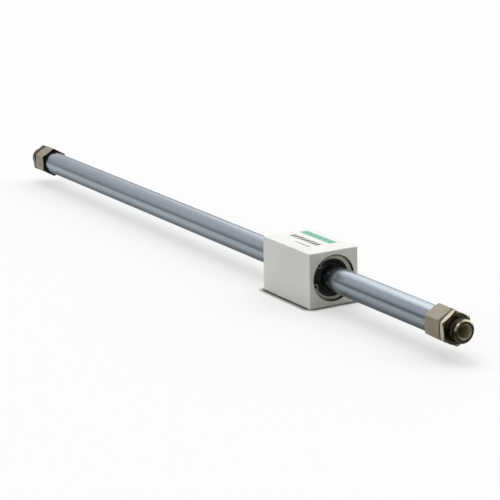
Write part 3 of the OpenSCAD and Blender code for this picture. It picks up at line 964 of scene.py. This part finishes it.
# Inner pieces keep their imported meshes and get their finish
def paintInnerNodes():
    finishOf = {row["node"]: row["material_slot"] for row in frame["record"]["subparts"]}
    shown = [name for name, node in frame["nodes"].items() if not node.hide_render]
    for name in shown:
        mesh = frame["nodes"][name].data
        mesh.materials.clear()
        mesh.materials.append(materials[finishOf[name]])
    print("inner nodes painted:", len(shown))


paintInnerNodes()


# Each value ending in Over is the range in metres over which the one before it comes in
floorForm = {
    "reach": 6.0, "pale": 0.45, "lift": 0.475, "bounce": 0.76, "roughness": 0.8, "specular": 0.1,
    "mirrored": (0.80, 0.58), "mirroredOver": (-0.10, 0.28), "pastEnd": 0.05, "pastEndOver": (0.295, 0.33),
    "farSide": 0.50, "farSideOver": (-0.30, -0.02), "shadeBeneath": 0.55, "shadeBeneathOver": (0.004, 0.03),
    "contactShadeReach": 0.0056, "contactShadePower": 5.0, "contactShadeSamples": 8,
}


# The camera sees an even pale floor with its shadow. Glossy rays see painted reflection shade on it:
# darker towards and past the right end, under the tube, and far off on the -Y side
def makeFloor():
    mesh = bpy.data.meshes.new("floor")
    f, reach, z = floorForm, floorForm["reach"], cadLow.z
    mesh.from_pydata([(-reach, -reach, z), (reach, -reach, z), (reach, reach, z), (-reach, reach, z)], [],
                     [(0, 1, 2, 3)])
    material, tree, shader, coord = newMaterial("paleFloor")
    place = split(tree, coord)
    fromAxis = calc(tree, "ABSOLUTE", place["Y"])
    mirrored = times(
        tree, remap(tree, place["X"], *f["mirroredOver"], *f["mirrored"]),
        remap(tree, place["X"], *f["pastEndOver"], 1.0, f["pastEnd"], smooth=True),
        remap(tree, place["Y"], *f["farSideOver"], f["farSide"], 1.0, smooth=True),
        remap(tree, fromAxis, *f["shadeBeneathOver"], f["shadeBeneath"], 1.0, smooth=True))
    rays = put(tree, "ShaderNodeLightPath").outputs
    seen = calc(tree, "MAXIMUM", rays["Is Camera Ray"], rays["Is Transmission Ray"])
    other = calc(tree, "SUBTRACT", 1.0, calc(tree, "MAXIMUM", seen, rays["Is Glossy Ray"]))
    # Painted contact shade: ambient occlusion darkens the floor close to the block, as under a block that
    # stands on a table
    near = put(tree, "ShaderNodeAmbientOcclusion", {"Distance": f["contactShadeReach"]}, samples=f["contactShadeSamples"])
    near = calc(tree, "POWER", near.outputs["AO"], f["contactShadePower"])
    shade = calc(tree, "ADD", times(tree, seen, near, f["pale"]), times(tree, other, f["bounce"]))
    shade = calc(tree, "ADD", shade, times(tree, rays["Is Glossy Ray"], mirrored))
    grey = put(tree, "ShaderNodeCombineColor", {"Red": shade, "Green": shade, "Blue": shade})
    feed(tree, shader, "Base Color", grey)
    feed(tree, shader, "Emission Color", rgb(1.0, 1.0, 1.0))
    feed(tree, shader, "Emission Strength", times(tree, rays["Is Camera Ray"], near, f["lift"]))
    feed(tree, shader, "Roughness", f["roughness"])
    feed(tree, shader, "Specular IOR Level", f["specular"])
    addObject("floor", mesh, material)


# Each lobe is (direction, where it starts and where it is full as cosines, strength).
# Each value ending in Over is the range of the direction's X over which the one before it comes in
skyForm = {
    "base": 0.22, "zenith": 0.30, "shade": 0.12, "shadeOver": (-0.2, 0.8), "white": (0.96, 0.96, 0.96),
    "tint": (1.0, 1.0, 1.02), "frontTint": (1.0, 1.0, 0.90), "frontTintOver": (0.0, 0.5),
    "behind": [
        ((-0.93, -0.10, 0.36), 0.75, 0.93, 0.42),
        ((-0.20, 0.74, 0.64), 0.60, 0.76, 0.90),
        ((-0.32, 0.27, 0.91), 0.77, 0.85, 0.52),
    ],
    "fill": [
        ((0.10, -0.97, 0.20), 0.62, 0.95, 0.64),
        ((0.30, 0.93, 0.15), 0.75, 0.95, 0.45),
        ((0.56, -0.12, 0.82), 0.87, 0.97, 0.28),
        ((0.53, -0.42, 0.74), 0.94, 0.985, 1.0),
        ((0.83, -0.49, 0.26), 0.93, 0.985, 0.20),
    ],
    "dip": 0.62, "dipSide": (-0.62, -0.28), "dipHeight": (0.05, 0.40), "horizon": 0.66, "horizonTop": 0.15,
}


def addLobes(tree, direction, light, lobes):
    for axis, start, full, strength in lobes:
        toward = put(tree, "ShaderNodeVectorMath", {0: direction, 1: Vector(axis).normalized()},
                     operation="DOT_PRODUCT").outputs["Value"]
        light = calc(tree, "ADD", light, remap(tree, toward, start, full, 0.0, strength, smooth=True))
    return light


# The world is white to the camera; other rays see a soft studio, darker on the +X side
def makeWorld():
    world = bpy.data.worlds.new("studio")
    bpy.context.scene.world = world
    world.use_nodes = True
    tree = world.node_tree
    tree.nodes.clear()
    f = skyForm
    direction = put(tree, "ShaderNodeTexCoord").outputs["Generated"]
    place = split(tree, direction)
    light = remap(tree, place["Z"], 0.0, 1.0, f["base"], f["zenith"])
    light = times(tree, light, remap(tree, place["X"], *f["shadeOver"], 1.0, f["shade"], smooth=True))
    light = addLobes(tree, direction, light, f["behind"])
    # A dark band low on the -Y side, which draws the dark line along the tube
    side = remap(tree, place["Y"], *f["dipSide"], f["dip"], 0.0)
    low = remap(tree, place["Z"], *f["dipHeight"], 1.0, 0.0, smooth=True)
    low = times(tree, low, remap(tree, place["Z"], 0.0, f["horizonTop"], f["horizon"], 1.0))
    light = times(tree, light, calc(tree, "SUBTRACT", 1.0, times(tree, side, low)))
    light = addLobes(tree, direction, light, f["fill"])
    front = remap(tree, place["X"], *f["frontTintOver"], 0.0, 1.0, smooth=True)
    colour = blendColours(tree, front, rgb(*f["tint"]), rgb(*f["frontTint"]))
    studio = put(tree, "ShaderNodeBackground", {"Color": colour, "Strength": light})
    white = put(tree, "ShaderNodeBackground", {"Color": rgb(*f["white"]), "Strength": 1.0})
    toCamera = put(tree, "ShaderNodeLightPath").outputs["Is Camera Ray"]
    put(tree, "ShaderNodeOutputWorld", {
        "Surface": put(tree, "ShaderNodeMixShader", {0: toCamera, 1: studio, 2: white})})


keyLight = {"toward": (-0.50, 0.0, 0.87), "strength": 0.74, "spread": 36.0}


def makeKeyLight():
    lamp = bpy.data.lights.new("softKey", "SUN")
    lamp.energy = keyLight["strength"]
    lamp.angle = math.radians(keyLight["spread"])
    key = linkNew("softKey", lamp)
    key.rotation_euler = Vector(keyLight["toward"]).to_track_quat("Z", "Y").to_euler()


cameraForm = {"aim": (49.3, 0.0, -5.1), "distance": 1479.0, "azimuth": 59.8, "elevation": 14.88,
              "roll": -1.09, "lens": 146.5}


def makeCamera():
    f = cameraForm
    place = Matrix()
    for axis, degrees in (("Z", f["azimuth"]), ("X", 90.0 - f["elevation"]), ("Z", f["roll"])):
        place = place @ Matrix.Rotation(math.radians(degrees), 4, axis)
    back = place.col[2].xyz
    place.translation = (cadLow + cadHigh) / 2 + (Vector(f["aim"]) + back * f["distance"]) * mm
    lens = bpy.data.cameras.new("camera")
    lens.sensor_width = 36.0
    lens.lens = f["lens"]
    camera = linkNew("camera", lens)
    camera.matrix_world = place
    bpy.context.scene.camera = camera


makeFloor()
makeWorld()
makeKeyLight()
makeCamera()
bpy.context.scene.view_settings.view_transform = "Standard"
print("floor, light and camera made")
